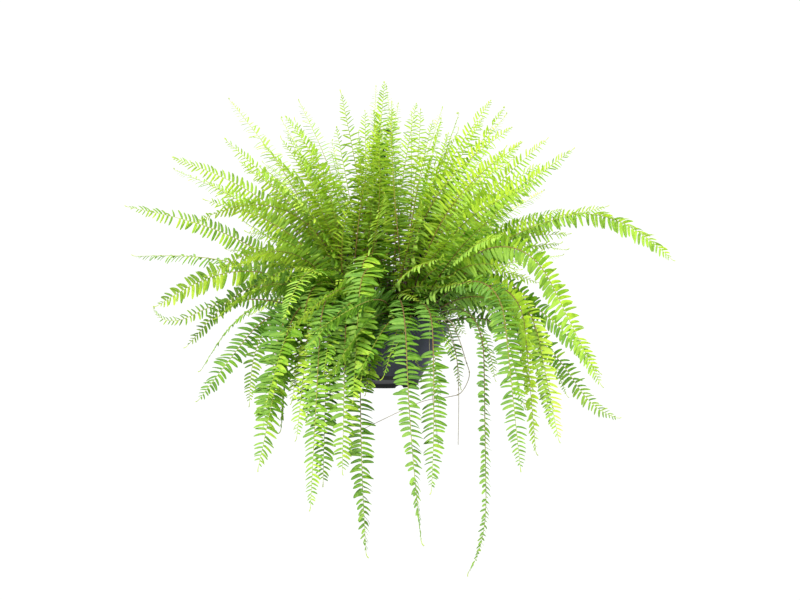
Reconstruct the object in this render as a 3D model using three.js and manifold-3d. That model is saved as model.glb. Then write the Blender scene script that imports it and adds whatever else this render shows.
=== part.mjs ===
// A sword fern growing in a round plastic hanging pot. Millimetres, +Z up, +X right, -Y the front.
// The origin is where the hook of the hanger rests on whatever holds it up, straight above the pot's centre.
import * as THREE from "three";
import { mergeVertices } from "three/addons/utils/BufferGeometryUtils.js";
import Module from "manifold-3d";

const wasm = await Module();
wasm.setup();

// Driving dimensions.
const HANG = 417; // from the hook's seat down to the top of the rim
const POT_HEIGHT = 115;
const RIM_RADIUS = 132; // to the edge of the flange
const FOOT_RADIUS = 69;
const FOOT_HEIGHT = 8;
const WALL = 2;
const FLOOR = 2.5;
const POT_SIDES = 64;
const NOTCHES = 6; // in the foot ring, for water to run out
const NOTCH_AZIMUTH = 63;
const NOTCH_WIDTH = 19;
const NOTCH_HEIGHT = 5.5;
const DRAIN_HOLES = 6;
const DRAIN_RADIUS = 4;
const DRAIN_CIRCLE = 44;
const LEG_AZIMUTHS = [90, 210, 330];
const LEG_RADIUS = 1.4;
const LEG_HOLE_RADIUS = 1.9;
const LEG_CIRCLE = 129.2; // the holes in the flange that the hanger's legs clip into
const HUB_TOP = -64;
const HUB_HEIGHT = 13;
const HUB_RADIUS = 7.5;
const HOOK_INNER = 12;
const HOOK_WIRE = 2.7;
const SOIL_DROP = 17; // soil surface below the rim
const GAP = 0.35; // between pieces that touch
const CROWN_RADIUS = 44;
const CROWN_HEIGHT = 22;
const STIPE = 1.3; // half thickness of a frond's bare stalk
const STALK_SHARE = 0.1; // of a frond's length that carries no leaflets
const STEPS = 24; // of the sum that draws a midrib
const STATIONS = 12; // of those steps that the solid keeps

const FOOT_Z = -HANG - POT_HEIGHT;
const SOIL_Z = -HANG - SOIL_DROP;
const CROWNS = {
  right: [40, -8],
  left: [-50, 6],
};

const radians = THREE.MathUtils.degToRad;
const smooth = (x) => THREE.MathUtils.smoothstep(x, 0, 1);

const colours = {
  plastic: { color: 0x33353d, roughness: 0.5, metalness: 0 },
  hanger: { color: 0x101112, roughness: 0.45, metalness: 0 },
  soil: { color: 0x2b2019, roughness: 1, metalness: 0 },
  rhizome: { color: 0x4a3222, roughness: 0.9, metalness: 0 },
  leaf: { color: 0x6ea51e, roughness: 0.55, metalness: 0 },
  runner: { color: 0x8c8467, roughness: 0.7, metalness: 0 },
};

function named(name, geometry, finish) {
  const mesh = new THREE.Mesh(geometry, new THREE.MeshStandardMaterial(colours[finish]));
  mesh.name = name;
  return mesh;
}

// A closed geometry as a solid for cutting.
function solid(geometry) {
  const bare = geometry.clone();
  bare.deleteAttribute("normal");
  bare.deleteAttribute("uv");
  const merged = mergeVertices(bare, 1e-3);
  const mesh = new wasm.Mesh({
    numProp: 3,
    vertProperties: new Float32Array(merged.attributes.position.array),
    triVerts: new Uint32Array(merged.index.array),
  });
  return new wasm.Manifold(mesh);
}

function geometryOf(cut) {
  const mesh = cut.getMesh();
  const geometry = new THREE.BufferGeometry();
  geometry.setAttribute("position", new THREE.BufferAttribute(mesh.vertProperties, 3));
  geometry.setIndex(new THREE.BufferAttribute(mesh.triVerts, 1));
  geometry.computeVertexNormals();
  return geometry;
}

// Turns a profile of [radius, height] points about Z. The profile runs anticlockwise.
function turned(profile, sides) {
  const points = profile.map(([r, z]) => new THREE.Vector2(r, z));
  return new THREE.LatheGeometry(points, sides).rotateX(Math.PI / 2);
}

function cylinderAt(radius, height, x, y, z, sides = 16) {
  return new THREE.CylinderGeometry(radius, radius, height, sides).rotateX(Math.PI / 2).translate(x, y, z);
}

function onCircle(radius, azimuth) {
  const a = radians(azimuth);
  return [radius * Math.cos(a), radius * Math.sin(a)];
}

// The pot: a flared bowl on a notched foot ring, with a flange round the rim.
function makePot() {
  const wallTop = RIM_RADIUS - 7;
  const bandBottom = POT_HEIGHT - 13;
  const body = turned(
    [
      [0, FOOT_HEIGHT],
      [FOOT_RADIUS - 2.5, FOOT_HEIGHT],
      [FOOT_RADIUS - 2.5, 0],
      [FOOT_RADIUS, 0],
      [FOOT_RADIUS + 1, FOOT_HEIGHT],
      [wallTop, bandBottom],
      [wallTop + 1.5, POT_HEIGHT - 3],
      [RIM_RADIUS, POT_HEIGHT - 3],
      [RIM_RADIUS, POT_HEIGHT],
      [wallTop - 0.5, POT_HEIGHT],
      [wallTop - WALL, bandBottom],
      [FOOT_RADIUS + 1 - WALL, FOOT_HEIGHT + FLOOR],
      [0, FOOT_HEIGHT + FLOOR],
    ],
    POT_SIDES,
  );
  let pot = solid(body);
  for (let k = 0; k < DRAIN_HOLES; k++) {
    const [x, y] = onCircle(DRAIN_CIRCLE, (360 * k) / DRAIN_HOLES);
    pot = pot.subtract(solid(cylinderAt(DRAIN_RADIUS, 10, x, y, FOOT_HEIGHT + FLOOR / 2)));
  }
  for (let k = 0; k < NOTCHES; k++) {
    const notch = new THREE.BoxGeometry(12, NOTCH_WIDTH, 2 * NOTCH_HEIGHT);
    notch.translate(FOOT_RADIUS, 0, 0).rotateZ(radians(NOTCH_AZIMUTH + (360 * k) / NOTCHES));
    pot = pot.subtract(solid(notch));
  }
  for (const azimuth of LEG_AZIMUTHS) {
    const [x, y] = onCircle(LEG_CIRCLE, azimuth);
    pot = pot.subtract(solid(cylinderAt(LEG_HOLE_RADIUS, 10, x, y, POT_HEIGHT - 1.5, 12)));
  }
  return named("pot", geometryOf(pot).translate(0, 0, FOOT_Z), "plastic");
}

// The soil fills the pot to below its rim, a little higher in the middle.
function makeSoil() {
  const wallTop = RIM_RADIUS - 7 - WALL - GAP;
  const bandBottom = POT_HEIGHT - 13;
  const bottom = FOOT_HEIGHT + FLOOR + GAP;
  const top = POT_HEIGHT - SOIL_DROP;
  const radiusAt = (z) => {
    const share = (z - FOOT_HEIGHT - FLOOR) / (bandBottom - FOOT_HEIGHT - FLOOR);
    return THREE.MathUtils.lerp(FOOT_RADIUS + 1 - WALL - GAP, wallTop, share) - GAP;
  };
  const profile = [
    [0, bottom],
    [radiusAt(bottom), bottom],
    [radiusAt(top - 2), top - 2],
    [radiusAt(top) - 6, top],
    [60, top + 2],
    [0, top + 3],
  ];
  return named("potting_soil", turned(profile, POT_SIDES).translate(0, 0, FOOT_Z), "soil");
}

const crownTop = (r) => SOIL_Z + 3 + GAP + CROWN_HEIGHT * (1 - (r / CROWN_RADIUS) ** 2);

// A crown is the mound of rhizome and old leaf bases that the fronds grow out of.
function makeCrown(side) {
  const [x, y] = CROWNS[side];
  const rings = [1, 0.85, 0.6, 0.3];
  const profile = [[0, SOIL_Z + 3 + GAP]];
  for (const share of rings) {
    profile.push([CROWN_RADIUS * share, crownTop(CROWN_RADIUS * share)]);
  }
  profile[1][1] = SOIL_Z + 3 + GAP;
  profile.push([0, crownTop(0)]);
  return named("crown_" + side, turned(profile, 24).translate(x, y, 0), "rhizome");
}

// The hook is one bent rod of round section with a hub below it.
function makeHook() {
  const mid = HOOK_INNER + HOOK_WIRE;
  const centre = -HOOK_INNER;
  const route = [];
  for (let a = -35; a <= 180; a += 21.5) {
    route.push(new THREE.Vector3(mid * Math.cos(radians(a)), 0, centre + mid * Math.sin(radians(a))));
  }
  route.push(new THREE.Vector3(-mid + 1.5, 0, centre - 12));
  route.push(new THREE.Vector3(-mid + 9, 0, centre - 26));
  route.push(new THREE.Vector3(0, 0, centre - 38));
  route.push(new THREE.Vector3(0, 0, HUB_TOP + 1));
  route.push(new THREE.Vector3(0, 0, HUB_TOP - 4));
  const path = new THREE.CatmullRomCurve3(route);
  const section = new THREE.Shape().absarc(0, 0, HOOK_WIRE, 0, 2 * Math.PI);
  const rod = new THREE.ExtrudeGeometry(section, { steps: 44, extrudePath: path, curveSegments: 5 });
  const hub = cylinderAt(HUB_RADIUS, HUB_HEIGHT, 0, 0, HUB_TOP - HUB_HEIGHT / 2, 20);
  return named("hanger_hook", geometryOf(solid(rod).add(solid(hub))), "hanger");
}

// A leg runs from under the hub to its hole in the flange, where a knob holds it from below.
function makeLeg(azimuth, number) {
  const at = (radius, z) => new THREE.Vector3(...onCircle(radius, azimuth), z);
  const route = [
    at(4.5, HUB_TOP - HUB_HEIGHT - GAP),
    at(5.5, HUB_TOP - HUB_HEIGHT - 12),
    at(0.15 * LEG_CIRCLE, HUB_TOP - 80),
    at(0.62 * LEG_CIRCLE, -HANG + 150),
    at(LEG_CIRCLE - 3, -HANG + 34),
    at(LEG_CIRCLE, -HANG + 16),
    at(LEG_CIRCLE, -HANG + 4),
    at(LEG_CIRCLE, -HANG - 7),
  ];
  const path = new THREE.CatmullRomCurve3(route);
  const section = new THREE.Shape().absarc(0, 0, LEG_RADIUS, 0, 2 * Math.PI);
  const rod = new THREE.ExtrudeGeometry(section, { steps: 18, extrudePath: path, curveSegments: 4 });
  const [x, y] = onCircle(LEG_CIRCLE, azimuth);
  const knob = cylinderAt(LEG_HOLE_RADIUS + 0.6, 3, x, y, -HANG - 5.1, 10);
  return named("hanger_leg_" + number, geometryOf(solid(rod).add(solid(knob))), "hanger");
}

// The fronds. azimuth: the way it leans, from +X towards +Y. rise and end: its slope as it leaves the crown and
// near its tip, above the horizontal. knee: the share of its length where it is half turned over. bend: the share
// of its length that the turn takes. sway: how far the azimuth has turned at the tip. roll: how far the blade turns
// about its midrib. lift: how much the last quarter turns up again. Degrees and millimetres.
const FRONDS = [
  // upright in the middle
  { crown: "left", azimuth: 200, rise: 87, end: 50, length: 460, width: 60, root: 262, out: 10, roll: 40 },
  { crown: "left", azimuth: 150, rise: 88, end: 62, length: 530, width: 58, root: 150, out: 24, roll: -50 },
  { crown: "left", azimuth: 80, rise: 88, end: 78, length: 550, width: 56, root: 40, out: 24 },
  { crown: "right", azimuth: 115, rise: 88, end: 76, length: 550, width: 58, root: 100, out: 30, roll: -30 },
  { crown: "right", azimuth: 88, rise: 86, end: 72, length: 510, width: 56, root: 65, out: 34 },
  { crown: "right", azimuth: 30, rise: 88, end: 70, length: 480, width: 54, root: 70, out: 10, roll: 50 },
  { crown: "right", azimuth: 300, rise: 86, end: 68, length: 450, width: 54, root: 225, out: 36, roll: -40 },
  { crown: "left", azimuth: 250, rise: 86, end: 56, length: 470, width: 54, root: 300, out: 36, roll: 30 },
  { crown: "right", azimuth: 350, rise: 85, end: 54, length: 500, width: 56, root: 350, out: 14, roll: -60 },
  // fanned out to the right
  { crown: "right", azimuth: 18, rise: 78, end: 52, length: 530, width: 58, root: 40, out: 20, roll: 40 },
  { crown: "right", azimuth: 318, rise: 78, end: 20, length: 480, width: 56, root: 240, out: 26, roll: -55 },
  { crown: "right", azimuth: 4, rise: 68, end: 42, length: 490, width: 58, out: 24, roll: -30 },
  { crown: "right", azimuth: 352, rise: 60, end: 36, length: 480, width: 56, out: 28, roll: -30 },
  { crown: "right", azimuth: 34, rise: 58, end: 32, length: 500, width: 58, out: 34, roll: 20 },
  { crown: "right", azimuth: 305, rise: 62, end: 12, length: 470, width: 60, root: 270, out: 26, roll: -20 },
  { crown: "right", azimuth: 0, rise: 43, end: -46, length: 630, width: 54, knee: 0.66, bend: 0.7, roll: -25 },
  { crown: "right", azimuth: 340, rise: 54, end: -66, length: 590, width: 72, knee: 0.4, bend: 0.5, root: 335, out: 34, roll: -25 },
  { crown: "right", azimuth: 24, rise: 44, end: 10, length: 400, width: 58, roll: 15 },
  // fanned out to the left
  { crown: "left", azimuth: 172, rise: 70, end: 52, length: 570, width: 56, roll: -30 },
  { crown: "left", azimuth: 184, rise: 65, end: 20, length: 530, width: 56, root: 165, out: 18, roll: 25 },
  { crown: "left", azimuth: 158, rise: 56, end: 26, length: 590, width: 56, roll: -20 },
  { crown: "left", azimuth: 180, rise: 45, end: 12, length: 530, width: 54, roll: 25 },
  { crown: "left", azimuth: 166, rise: 38, end: 2, length: 520, width: 60, roll: -15 },
  { crown: "left", azimuth: 200, rise: 40, end: -36, length: 425, width: 72, roll: 25 },
  { crown: "left", azimuth: 180, rise: 27, end: -36, length: 420, width: 46, lift: 120, roll: 20 },
  { crown: "left", azimuth: 206, rise: 73, end: -32, length: 470, width: 60, knee: 0.55, root: 232, out: 20, roll: 30 },
  { crown: "left", azimuth: 138, rise: 72, end: 36, length: 510, width: 58, roll: -20 },
  // hanging at the right and in front
  { crown: "right", azimuth: 2, rise: 18, end: -58, length: 470, width: 60, knee: 0.38, bend: 0.8, lift: 45, roll: -20 },
  { crown: "right", azimuth: 308, rise: 16, end: -90, length: 660, width: 52, knee: 0.24, bend: 0.36, lift: -50, root: 305, out: 42 },
  { crown: "right", azimuth: 348, rise: 34, end: -82, length: 500, width: 46, knee: 0.4, bend: 0.4, root: 340, out: 34 },
  { crown: "right", azimuth: 318, rise: 30, end: -84, length: 570, width: 54, knee: 0.35, bend: 0.4, root: 285, out: 40 },
  { crown: "right", azimuth: 292, rise: 24, end: -84, length: 490, width: 54, knee: 0.26, bend: 0.4, sway: -60, root: 266, out: 41 },
  { crown: "right", azimuth: 272, rise: 26, end: -84, length: 605, width: 56, knee: 0.24, bend: 0.4, sway: 90, root: 249, out: 42 },
  { crown: "left", azimuth: 266, rise: 18, end: -86, length: 570, width: 56, knee: 0.2, bend: 0.34, sway: 80, root: 290, out: 40 },
  { crown: "left", azimuth: 252, rise: 28, end: -84, length: 580, width: 56, knee: 0.28, bend: 0.4, root: 270, out: 38 },
  { crown: "left", azimuth: 236, rise: 28, end: -74, length: 495, width: 70, knee: 0.28, bend: 0.5, root: 240, out: 36 },
  { crown: "left", azimuth: 206, rise: 22, end: -54, length: 380, width: 64, knee: 0.34, bend: 0.6, roll: 20 },
  { crown: "right", azimuth: 252, rise: 54, end: -82, length: 450, width: 74, knee: 0.36, bend: 0.5, root: 225, out: 40 },
  // behind
  { crown: "right", azimuth: 56, rise: 66, end: 10, length: 480, width: 58, root: 30, out: 32 },
  { crown: "right", azimuth: 40, rise: 34, end: -60, length: 540, width: 58, out: 42 },
  { crown: "right", azimuth: 78, rise: 40, end: -70, length: 560, width: 58, root: 95, out: 40 },
  { crown: "left", azimuth: 102, rise: 64, end: 10, length: 500, width: 58 },
  { crown: "left", azimuth: 112, rise: 40, end: -60, length: 560, width: 58 },
  { crown: "left", azimuth: 145, rise: 34, end: -50, length: 480, width: 58 },
];

// Bare runners that hang over the rim, each by the points it passes through.
const RUNNER_RADIUS = 0.9;
const RUNNERS = [
  [[58, -38, -421], [84, -104, -411], [89, -122, -428], [88, -128, -480], [92, -130, -560], [104, -132, -665]],
  [
    [76, -24, -422], [124, -46, -408], [144, -60, -440], [160, -74, -495], [166, -80, -525], [150, -90, -558],
    [126, -100, -568], [80, -115, -577], [36, -130, -597], [-44, -145, -637],
  ],
  [[76, -30, -422], [104, -82, -410], [122, -100, -428], [138, -115, -480], [143, -120, -560], [141, -122, -661]],
];

// Points on a frond's midrib, with the way across its blade at each.
function midrib(frond) {
  const { azimuth, rise, end, length, knee = 0.5, bend = 0.9, sway = 0, roll = 0, lift = 0 } = frond;
  const [x, y] = CROWNS[frond.crown ?? "right"];
  const out = frond.out ?? 6 + 0.42 * (90 - rise);
  const [dx, dy] = onCircle(out, frond.root ?? azimuth);
  let point = new THREE.Vector3(x + dx, y + dy, crownTop(out) + 2);
  const line = [];
  for (let k = 0; k <= STEPS; k++) {
    const t = k / STEPS;
    const turn = smooth((t - knee) / bend + 0.5);
    const tipLift = lift * Math.max(0, (t - 0.75) / 0.25) ** 1.5;
    const slope = radians(rise + (end - rise) * turn + tipLift);
    const way = radians(azimuth + sway * t * t);
    const along = new THREE.Vector3(
      Math.cos(slope) * Math.cos(way),
      Math.cos(slope) * Math.sin(way),
      Math.sin(slope),
    );
    const across = new THREE.Vector3(-Math.sin(way), Math.cos(way), 0);
    across.applyAxisAngle(along, radians(roll * smooth(t / 0.4)));
    line.push({ t, point, along, across });
    point = point.clone().addScaledVector(along, length / STEPS);
  }
  return line;
}

// How wide the blade is at a share of the frond's length, as a share of its widest.
function fullness(t) {
  if (t < STALK_SHARE) return 0;
  const s = (t - STALK_SHARE) / (1 - STALK_SHARE);
  return smooth(0.25 + 2.6 * s) * Math.sqrt(Math.max(0, 1 - s ** 2.2));
}

// A frond's solid is a thin blade with a ridge along its midrib: a four-sided cylinder laid along the line.
function makeFrond(frond, number) {
  const line = midrib(frond).filter((_, k) => k % (STEPS / STATIONS) === 0);
  const geometry = new THREE.CylinderGeometry(1, 1, 1, 4, STATIONS);
  const position = geometry.attributes.position;
  for (let v = 0; v < position.count; v++) {
    const station = line[Math.round((0.5 - position.getY(v)) * STATIONS)];
    const up = station.along.clone().cross(station.across);
    const half = Math.max(STIPE, (frond.width / 2) * fullness(station.t));
    const thick = THREE.MathUtils.lerp(STIPE, 0.6, station.t);
    const place = station.point.clone();
    place.addScaledVector(station.across, half * position.getX(v));
    place.addScaledVector(up, thick * position.getZ(v));
    position.setXYZ(v, place.x, place.y, place.z);
  }
  // Both faces of the blade are split from ridge to edge, so that they keep their distance where it twists.
  const corners = geometry.index.array;
  for (const side of [1, 3]) {
    for (let k = 6 * side * STATIONS; k < 6 * (side + 1) * STATIONS; k += 6) {
      const [a, b, d, , c] = corners.slice(k, k + 6);
      corners.set([a, b, c, a, c, d], k);
    }
  }
  return named("frond_" + String(number).padStart(2, "0"), geometry, "leaf");
}

function makeRunner(points, number) {
  const path = new THREE.CatmullRomCurve3(points.map((p) => new THREE.Vector3(...p)));
  const section = new THREE.Shape().absarc(0, 0, RUNNER_RADIUS, 0, 2 * Math.PI);
  const options = { steps: 6 * points.length, extrudePath: path, curveSegments: 3 };
  return named("runner_" + number, new THREE.ExtrudeGeometry(section, options), "runner");
}

const group = new THREE.Group();
group.add(makePot(), makeSoil(), makeCrown("left"), makeCrown("right"), makeHook());
LEG_AZIMUTHS.forEach((azimuth, k) => group.add(makeLeg(azimuth, k + 1)));
RUNNERS.forEach((points, k) => group.add(makeRunner(points, k + 1)));
FRONDS.forEach((frond, k) => group.add(makeFrond(frond, k + 1)));

export default group;
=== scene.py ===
"""A sword fern in a round plastic hanging pot, built around its CAD frame. Metres, +Z up, -Y the front.
The origin is where the hanger's hook rests, straight above the centre of the pot."""
import math
import random

import bmesh
import bpy
from mathutils import Matrix, Vector, noise


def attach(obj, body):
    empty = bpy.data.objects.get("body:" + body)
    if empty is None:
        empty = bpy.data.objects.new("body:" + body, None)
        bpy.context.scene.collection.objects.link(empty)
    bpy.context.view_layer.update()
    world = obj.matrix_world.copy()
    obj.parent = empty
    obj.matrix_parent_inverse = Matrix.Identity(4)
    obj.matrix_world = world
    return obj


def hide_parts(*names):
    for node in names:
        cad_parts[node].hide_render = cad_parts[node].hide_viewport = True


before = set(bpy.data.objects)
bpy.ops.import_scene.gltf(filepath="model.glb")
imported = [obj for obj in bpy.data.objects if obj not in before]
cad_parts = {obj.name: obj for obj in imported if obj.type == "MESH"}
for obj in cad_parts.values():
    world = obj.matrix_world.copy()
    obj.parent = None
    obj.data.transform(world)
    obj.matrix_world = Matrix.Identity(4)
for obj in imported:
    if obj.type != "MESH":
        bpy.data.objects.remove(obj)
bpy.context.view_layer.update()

MM = 0.001

# ---------------------------------------------------------------- camera, light and floor

CAMERA_PLACE = (0.032, -2.3, -0.814)
CAMERA_AIM = (0.032, 0.0, -0.360)
FLOOR_LEVEL = -2.0
FLOOR_REACH = 8
PLANT_MIDDLE = (0, 0, -0.35)


def aim(place, target):
    """The turn of a camera or lamp at the place that looks at the target."""
    return (Vector(target) - Vector(place)).to_track_quat("-Z", "Y").to_euler()


camera = bpy.data.objects.new("camera", bpy.data.cameras.new("camera"))
bpy.context.scene.collection.objects.link(camera)
camera.data.lens = 52
camera.data.sensor_width = 36
camera.data.clip_end = 100
camera.location = CAMERA_PLACE
camera.rotation_euler = aim(CAMERA_PLACE, CAMERA_AIM)
bpy.context.scene.camera = camera


def linear(code):
    """An sRGB hex colour as linear RGBA."""
    shares = [int(code[k : k + 2], 16) / 255 for k in (1, 3, 5)]
    return [s / 12.92 if s <= 0.04045 else ((s + 0.055) / 1.055) ** 2.4 for s in shares] + [1.0]


def add_node(tree, kind, values=None, links=None, stops=(), **settings):
    """Adds one node. settings are its properties, values its sockets' own numbers, links the node or output
    that feeds each socket, and stops a colour ramp's places and hex colours."""
    made = tree.nodes.new("ShaderNode" + kind)
    for name, value in settings.items():
        setattr(made, name, value)
    for socket, value in (values or {}).items():
        made.inputs[socket].default_value = value
    for socket, source in (links or {}).items():
        output = source.outputs[0] if isinstance(source, bpy.types.Node) else source
        tree.links.new(output, made.inputs[socket])
    elements = made.color_ramp.elements if stops else ()
    while len(elements) < len(stops):
        elements.new(0.5)
    for element, (place, code) in zip(elements, stops):
        element.position, element.color = place, linear(code)
    return made


def light_up():
    """A white studio: bright surroundings, and large soft lamps above, in front and at the right."""
    world = bpy.data.worlds.new("white_studio")
    bpy.context.scene.world = world
    bpy.context.scene.view_settings.view_transform = "Standard"
    world.use_nodes = True
    tree = world.node_tree
    tree.nodes.clear()
    # What the camera sees behind the plant is whiter than what lights it.
    seen = add_node(tree, "LightPath").outputs["Is Camera Ray"]
    sky = add_node(tree, "Background", {"Color": linear("#fbfdff"), "Strength": 0.52})
    backdrop = add_node(tree, "Background", {"Color": (1, 1, 1, 1), "Strength": 1.05})
    both = add_node(tree, "MixShader", links={0: seen, 1: sky, 2: backdrop})
    add_node(tree, "OutputWorld", links={"Surface": both})
    # Name, place, width in metres and power in watts.
    lamps = (
        ("top_softbox", (0.2, 0.9, 2.1), 1.6, 98),
        ("front_softbox", (-1.2, -2.6, 0.7), 1.1, 160),
        ("right_softbox", (2.4, -0.4, 0.5), 1.2, 92),
    )
    for name, place, size, power in lamps:
        lamp = bpy.data.lights.new(name, "AREA")
        lamp.size, lamp.energy = size, power
        made = bpy.data.objects.new(name, lamp)
        bpy.context.scene.collection.objects.link(made)
        made.location = place
        made.rotation_euler = aim(place, PLANT_MIDDLE)


light_up()

# ---------------------------------------------------------------- materials

# Side veins slant off a leaflet's midrib, a turn of the wave every 1.5 mm on a leaflet of 30 mm.
VEIN_TURNS = 120.0
VEIN_SLANT = 0.7
# From the oldest, deepest green to the yellowish green of young growth. The darkest stop is darker than the
# leaf itself, as painted shade for the plant's depths.
UPPER_GREENS_AND_PAINTED_SHADE = ((0.0, "#0f2e04"), (0.35, "#3f7410"), (0.7, "#7eb028"), (1.0, "#c6e04a"))
LOWER_GREENS = ((0.0, "#47782a"), (0.5, "#6ea03c"), (1.0, "#a8cc58"))
THROUGH_GREENS = ((0.0, "#3a6e06"), (0.5, "#82b410"), (1.0, "#d6ea2c"))
RIB_GREEN = "#c3dc78"
LIGHT_THROUGH = 0.42
STALK_BROWNS = ((0.0, "#26150b"), (0.2, "#452a14"), (0.45, "#7a5f26"), (1.0, "#9cb42c"))


def new_material(name):
    made = bpy.data.materials.new(name)
    made.use_nodes = True
    made.node_tree.nodes.clear()
    return made, made.node_tree


def leaf_material():
    """Living fern leaf: a thin soft lamina with a satin cuticle. It glows yellow-green where light comes
    through, is paler below, and has a light midrib with fine side veins about 1.5 mm apart."""
    made, tree = new_material("living_fern_leaf")
    # The midrib runs along the middle of the leaflet's own map, and the veins slant forward from it.
    place = add_node(tree, "UVMap", uv_map="leaflet")
    split = add_node(tree, "SeparateXYZ", links={0: place})
    across = add_node(tree, "Math", {1: 0.5}, {0: split.outputs["Y"]}, operation="SUBTRACT")
    off_rib = add_node(tree, "Math", links={0: across}, operation="ABSOLUTE")
    rib_edges = {"From Min": 0.02, "From Max": 0.09, "To Min": 1.0, "To Max": 0.0}
    rib = add_node(tree, "MapRange", rib_edges, {"Value": off_rib})
    slant = add_node(tree, "Math", {1: VEIN_SLANT}, {0: off_rib}, operation="MULTIPLY")
    run = add_node(tree, "Math", links={0: split.outputs["X"], 1: slant}, operation="SUBTRACT")
    turns = add_node(tree, "Math", {1: VEIN_TURNS}, {0: run}, operation="MULTIPLY")
    veins = add_node(tree, "Math", links={0: turns}, operation="SINE")
    vein_edges = {"From Min": 0.6, "From Max": 1.0, "To Min": 0.0, "To Max": 0.35}
    vein_lines = add_node(tree, "MapRange", vein_edges, {"Value": veins})
    relief = add_node(tree, "Math", links={0: rib, 1: vein_lines}, operation="MAXIMUM")
    # The green follows the leaflet's own tone, its place along the frond and a soft mottle of about 11 mm. A
    # frond's foot near the crown takes the darker greens, partly as older growth and partly as painted shade.
    age = add_node(tree, "Attribute", attribute_name="age")
    tone = add_node(tree, "Attribute", attribute_name="tone")
    spots = add_node(tree, "TexCoord")
    mottle = add_node(tree, "TexNoise", {"Scale": 90.0, "Detail": 3.0}, {"Vector": spots.outputs["Object"]})
    mottle_range = {"From Min": 0.3, "From Max": 0.7, "To Min": -0.12, "To Max": 0.12}
    worn = add_node(tree, "MapRange", mottle_range, {"Value": mottle.outputs["Fac"]})
    aged = add_node(tree, "Math", {1: 0.4}, {0: age.outputs["Fac"]}, operation="MULTIPLY")
    toned = add_node(tree, "Math", links={0: aged, 1: tone.outputs["Fac"]}, operation="ADD")
    spread = add_node(tree, "Math", links={0: toned, 1: worn}, operation="ADD", use_clamp=True)
    upper = add_node(tree, "ValToRGB", links={"Fac": spread}, stops=UPPER_GREENS_AND_PAINTED_SHADE)
    lower = add_node(tree, "ValToRGB", links={"Fac": spread}, stops=LOWER_GREENS)
    through = add_node(tree, "ValToRGB", links={"Fac": spread}, stops=THROUGH_GREENS)
    below = add_node(tree, "Attribute", attribute_name="underside")
    faces = {0: below.outputs["Fac"], 6: upper, 7: lower}
    sides = add_node(tree, "Mix", links=faces, data_type="RGBA")
    shade = add_node(tree, "Math", {1: 0.4}, {0: relief}, operation="MULTIPLY")
    veined = {0: shade, 6: sides.outputs[2]}
    lit = add_node(tree, "Mix", {7: linear(RIB_GREEN)}, veined, data_type="RGBA")
    # The upper skin is satin, with low ribs and veins; the light that comes through takes a yellower green.
    bump = add_node(tree, "Bump", {"Strength": 0.35, "Distance": 0.4 * MM}, {"Height": relief})
    rough = add_node(tree, "MapRange", {"To Min": 0.42, "To Max": 0.6}, {"Value": mottle.outputs["Fac"]})
    cuticle = {"IOR": 1.42, "Specular IOR Level": 0.28}
    skin = {"Base Color": lit.outputs[2], "Roughness": rough, "Normal": bump}
    surface = add_node(tree, "BsdfPrincipled", cuticle, skin)
    glow = add_node(tree, "BsdfTranslucent", links={"Color": through, "Normal": bump})
    both = add_node(tree, "MixShader", {0: LIGHT_THROUGH}, {1: surface, 2: glow})
    add_node(tree, "OutputMaterial", links={"Surface": both})
    return made


def stalk_material():
    """Fern stalk: wiry, dark brown and hairy at the foot, tan along the leaflets and green at the tip."""
    made, tree = new_material("wiry_fern_stalk")
    age = add_node(tree, "Attribute", attribute_name="age")
    spots = add_node(tree, "TexCoord")
    # Hair in tufts of 1.4 mm, coarser than the real hairs, which are too fine to show.
    fibre = add_node(tree, "TexNoise", {"Scale": 700.0, "Detail": 2.0}, {"Vector": spots.outputs["Object"]})
    tufts = fibre.outputs["Fac"]
    drift = add_node(tree, "MapRange", {"To Min": -0.1, "To Max": 0.1}, {"Value": tufts})
    along = add_node(tree, "Math", links={0: age.outputs["Fac"], 1: drift}, operation="ADD", use_clamp=True)
    colour = add_node(tree, "ValToRGB", links={"Fac": along}, stops=STALK_BROWNS)
    bump = add_node(tree, "Bump", {"Strength": 0.4, "Distance": 0.3 * MM}, {"Height": tufts})
    rough = add_node(tree, "MapRange", {"To Min": 0.5, "To Max": 0.75}, {"Value": tufts})
    skin = {"Base Color": colour, "Roughness": rough, "Normal": bump}
    surface = add_node(tree, "BsdfPrincipled", links=skin)
    add_node(tree, "OutputMaterial", links={"Surface": surface})
    return made


def grainy_material(name, stops, grain_size, roughness, relief, ior=1.46):
    """A material whose colour, gloss and surface follow one grain and its clouds. The grain's size and relief
    are in millimetres, and roughness runs from the darkest grain to the palest."""
    made, tree = new_material(name)
    place = {"Vector": add_node(tree, "TexCoord").outputs["Object"]}
    grain = add_node(tree, "TexNoise", {"Scale": 1 / (grain_size * MM), "Detail": 4.0}, place)
    cloud = add_node(tree, "TexNoise", {"Scale": 1 / (12 * grain_size * MM), "Detail": 2.0}, place)
    sum_of_both = {0: grain.outputs["Fac"], 1: cloud.outputs["Fac"]}
    total = add_node(tree, "Math", links=sum_of_both, operation="ADD")
    half = add_node(tree, "Math", {1: 0.5}, {0: total}, operation="MULTIPLY")
    colour = add_node(tree, "ValToRGB", links={"Fac": half}, stops=stops)
    gloss = {"From Min": 0.3, "From Max": 0.7, "To Min": roughness[0], "To Max": roughness[1]}
    rough = add_node(tree, "MapRange", gloss, {"Value": half})
    height = {"Height": grain.outputs["Fac"]}
    bump = add_node(tree, "Bump", {"Strength": 0.5, "Distance": relief * MM}, height)
    skin = {"Base Color": colour, "Roughness": rough, "Normal": bump}
    surface = add_node(tree, "BsdfPrincipled", {"IOR": ior}, skin)
    add_node(tree, "OutputMaterial", links={"Surface": surface})
    return made


PLASTIC_IOR = 1.49
leaf = leaf_material()
stalk = stalk_material()
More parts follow.
